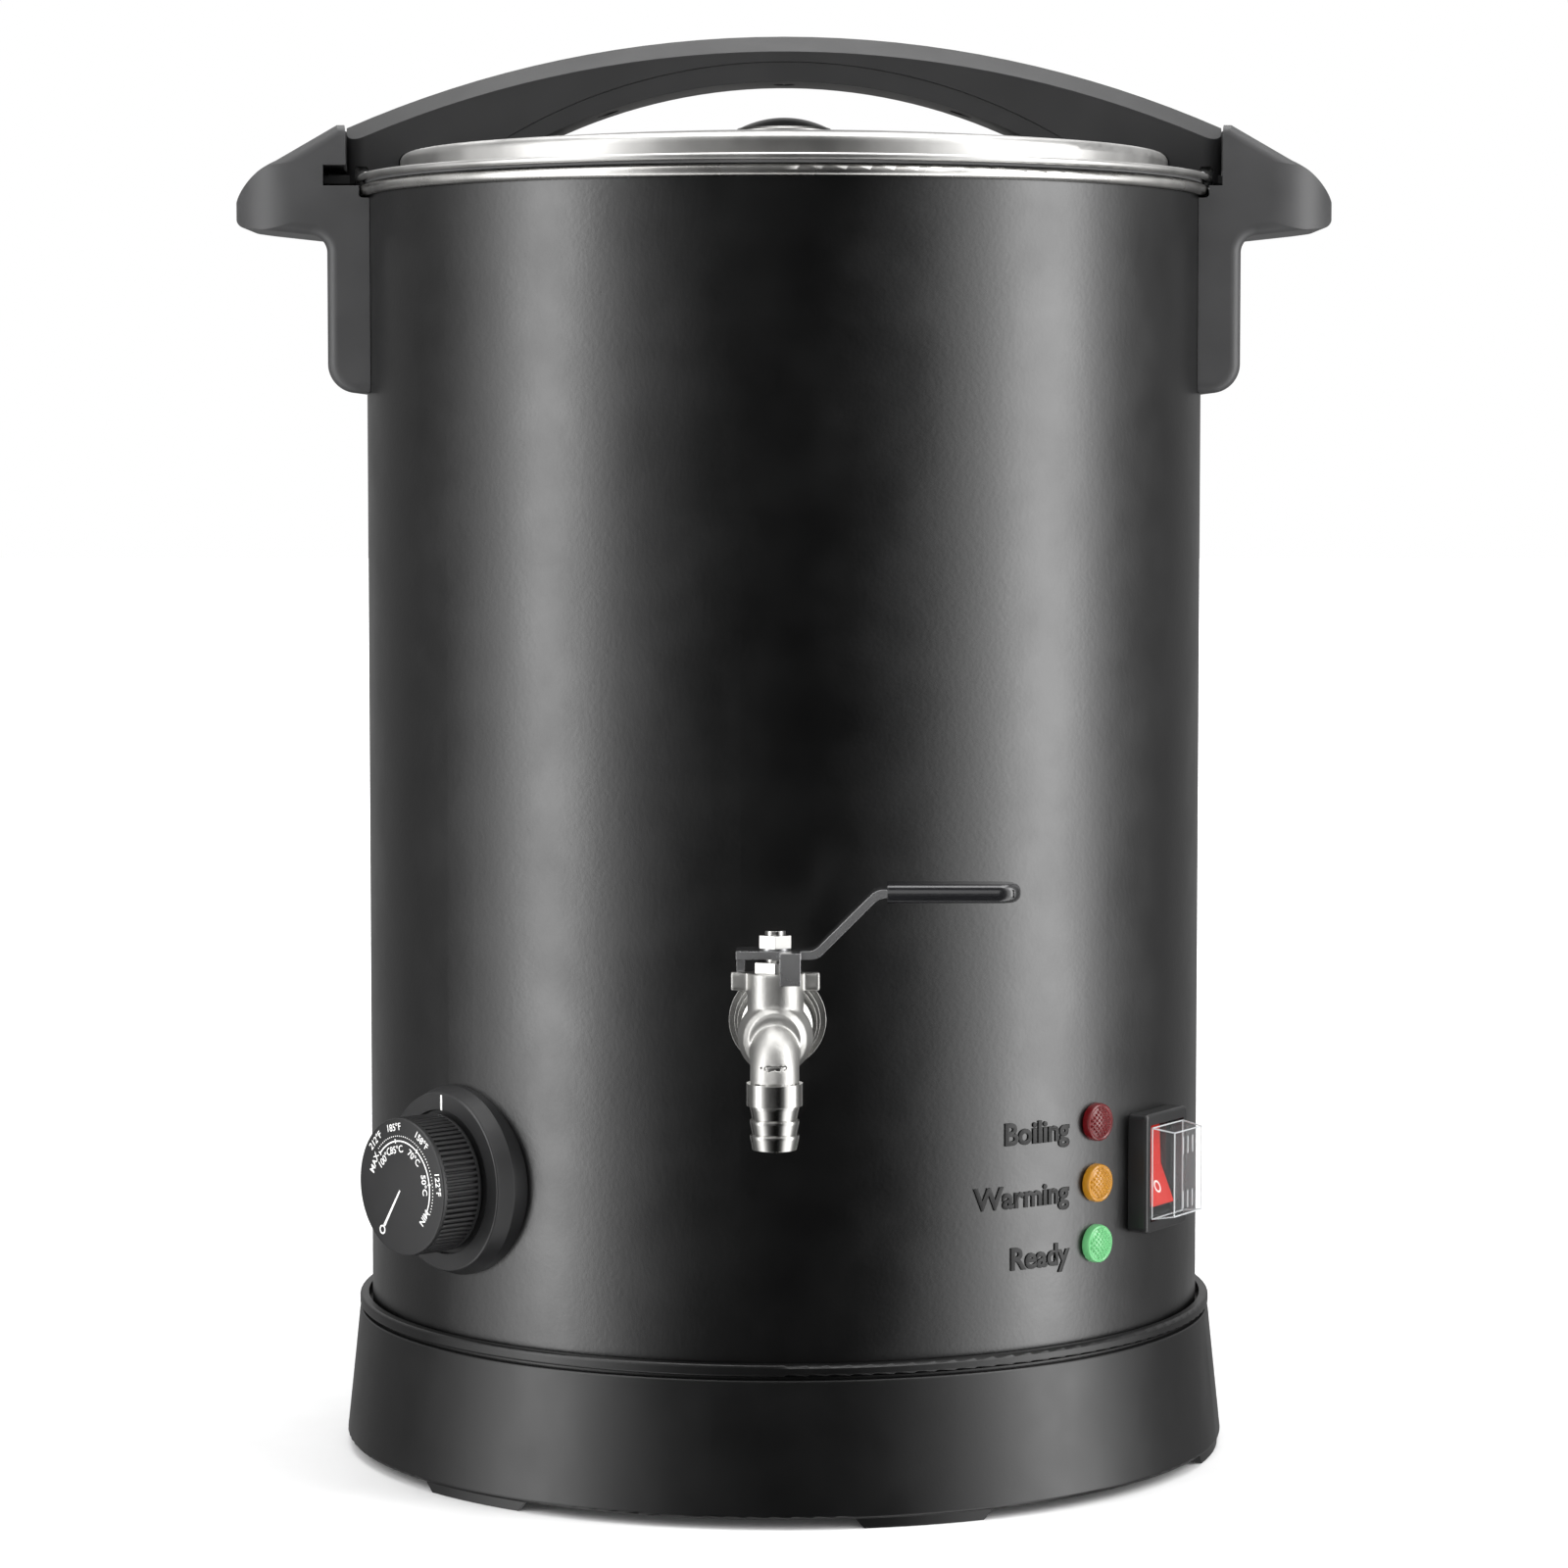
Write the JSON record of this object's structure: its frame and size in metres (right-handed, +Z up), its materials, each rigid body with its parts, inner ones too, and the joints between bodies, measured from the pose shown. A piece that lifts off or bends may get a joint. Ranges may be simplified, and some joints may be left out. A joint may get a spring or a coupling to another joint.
{
  "type": "electric brew kettle",
  "caption": "Round electric brew kettle: black drum on a footed base, bayonet lid with an arch handle, side handles, ball tap with hose barb, thermostat dial, lamps and covered rocker switch.",
  "frame": {"origin": "centre of the foot ring, in the plane that the foot pads stand on", "axes": "+Z up the drum's axis, -Y towards the front, where the tap points, +X to the kettle's left as it faces forward, which is the viewer's right"},
  "size_m": [0.34, 0.3318, 0.4395],
  "materials": {
    "base_plastic": "fine moulded texture",
    "handle_plastic": "fine moulded texture",
    "shell_paint": "satin, finely textured powder coat",
    "pot_steel": "spun and polished",
    "lid_steel": "spun, brushed in circles",
    "tap_nickel": "cast, nickel plated",
    "polished_nickel": "turned and plated",
    "zinc_steel": "zinc plated steel",
    "plate_aluminium": "cast",
    "element_steel": "dull, heat stained",
    "silicone": "matt silicone",
    "pale_silicone": "matt silicone",
    "vinyl": "dipped vinyl, glossy",
    "knob_plastic": "satin",
    "bezel_plastic": "satin",
    "vent_plastic": "satin",
    "lens_red": "clear red, unlit",
    "lens_amber": "clear amber",
    "lens_green": "clear green, lit",
    "switch_plastic": "gloss",
    "rocker_red": "gloss, lit",
    "clear_cover": "clear soft cover",
    "contact_brass": "plated",
    "thermostat_plastic": "moulded",
    "ptfe": "smooth"
  },
  "bodies": {
    "kettle": {"base_skirt": "base_plastic", "base_collar": "base_plastic", "bottom_cover": "base_plastic", "bottom_screws": "zinc_steel", "drum_shell": "shell_paint", "inner_pot": "pot_steel", "heat_plate": "plate_aluminium", "heating_element": "element_steel", "thermal_cutout": "thermostat_plastic", "sensor_bulb": "contact_brass", "bulb_clip": "zinc_steel", "side_handle_left": "handle_plastic", "side_handle_right": "handle_plastic", "handle_screws": "zinc_steel", "dial_bezel": "bezel_plastic", "thermostat_body": "thermostat_plastic", "lamp_red": "lens_red", "lamp_amber": "lens_amber", "lamp_green": "lens_green", "switch_frame": "bezel_plastic", "switch_housing": "switch_plastic", "switch_cover": "clear_cover", "switch_terminals": "contact_brass", "mains_inlet": "switch_plastic", "inlet_pins": "contact_brass", "inlet_screws": "zinc_steel", "tap_tailpiece": "polished_nickel", "tap_gasket": "pale_silicone", "tap_washer": "polished_nickel", "pot_gasket": "pale_silicone", "tap_backnut": "polished_nickel", "tap_body": "tap_nickel", "hose_barb": "polished_nickel", "gland_nut": "polished_nickel", "ball_seats": "ptfe"},
    "lid_seal": {"lid_seal": "silicone"},
    "lid": {"lid_disc": "lid_steel", "lid_screws": "zinc_steel", "arch_handle": "handle_plastic", "arch_grip": "handle_plastic", "grip_screws": "zinc_steel", "vent_ring": "lid_steel", "vent_cap": "vent_plastic", "vent_nut": "zinc_steel"},
    "tap_handle": {"tap_lever": "zinc_steel", "lever_sleeve": "vinyl", "lever_washer": "zinc_steel", "lever_nut": "polished_nickel", "tap_stem": "polished_nickel", "tap_ball": "polished_nickel"},
    "dial": {"dial_knob": "knob_plastic", "dial_spindle": "zinc_steel"},
    "rocker": {"switch_rocker": "rocker_red"}
  },
  "joints": [
    {"name": "lid_lift", "type": "slide", "parent": "kettle", "child": "lid_seal", "axis": [0, 0, 1], "range_m": [0, 0.15]},
    {"name": "lid_turn", "type": "hinge", "parent": "lid_seal", "child": "lid", "pos_m": [0, 0, 0.395], "axis": [0, 0, 1], "range_deg": [0, 20]},
    {"name": "tap_turn", "type": "hinge", "parent": "kettle", "child": "tap_handle", "pos_m": [-0.0024, -0.17198, 0.148], "axis": [0, 0, 1], "range_deg": [-90, 0]},
    {"name": "dial_turn", "type": "hinge", "parent": "kettle", "child": "dial", "pos_m": [-0.10181, -0.09167, 0.0945], "axis": [-0.7431, -0.6691, 0], "range_deg": [-49, 214]},
    {"name": "switch_rock", "type": "hinge", "parent": "kettle", "child": "rocker", "pos_m": [0.10794, -0.06615, 0.095], "axis": [0.5225, 0.8526, 0], "range_deg": [0, 24]}
  ]
}
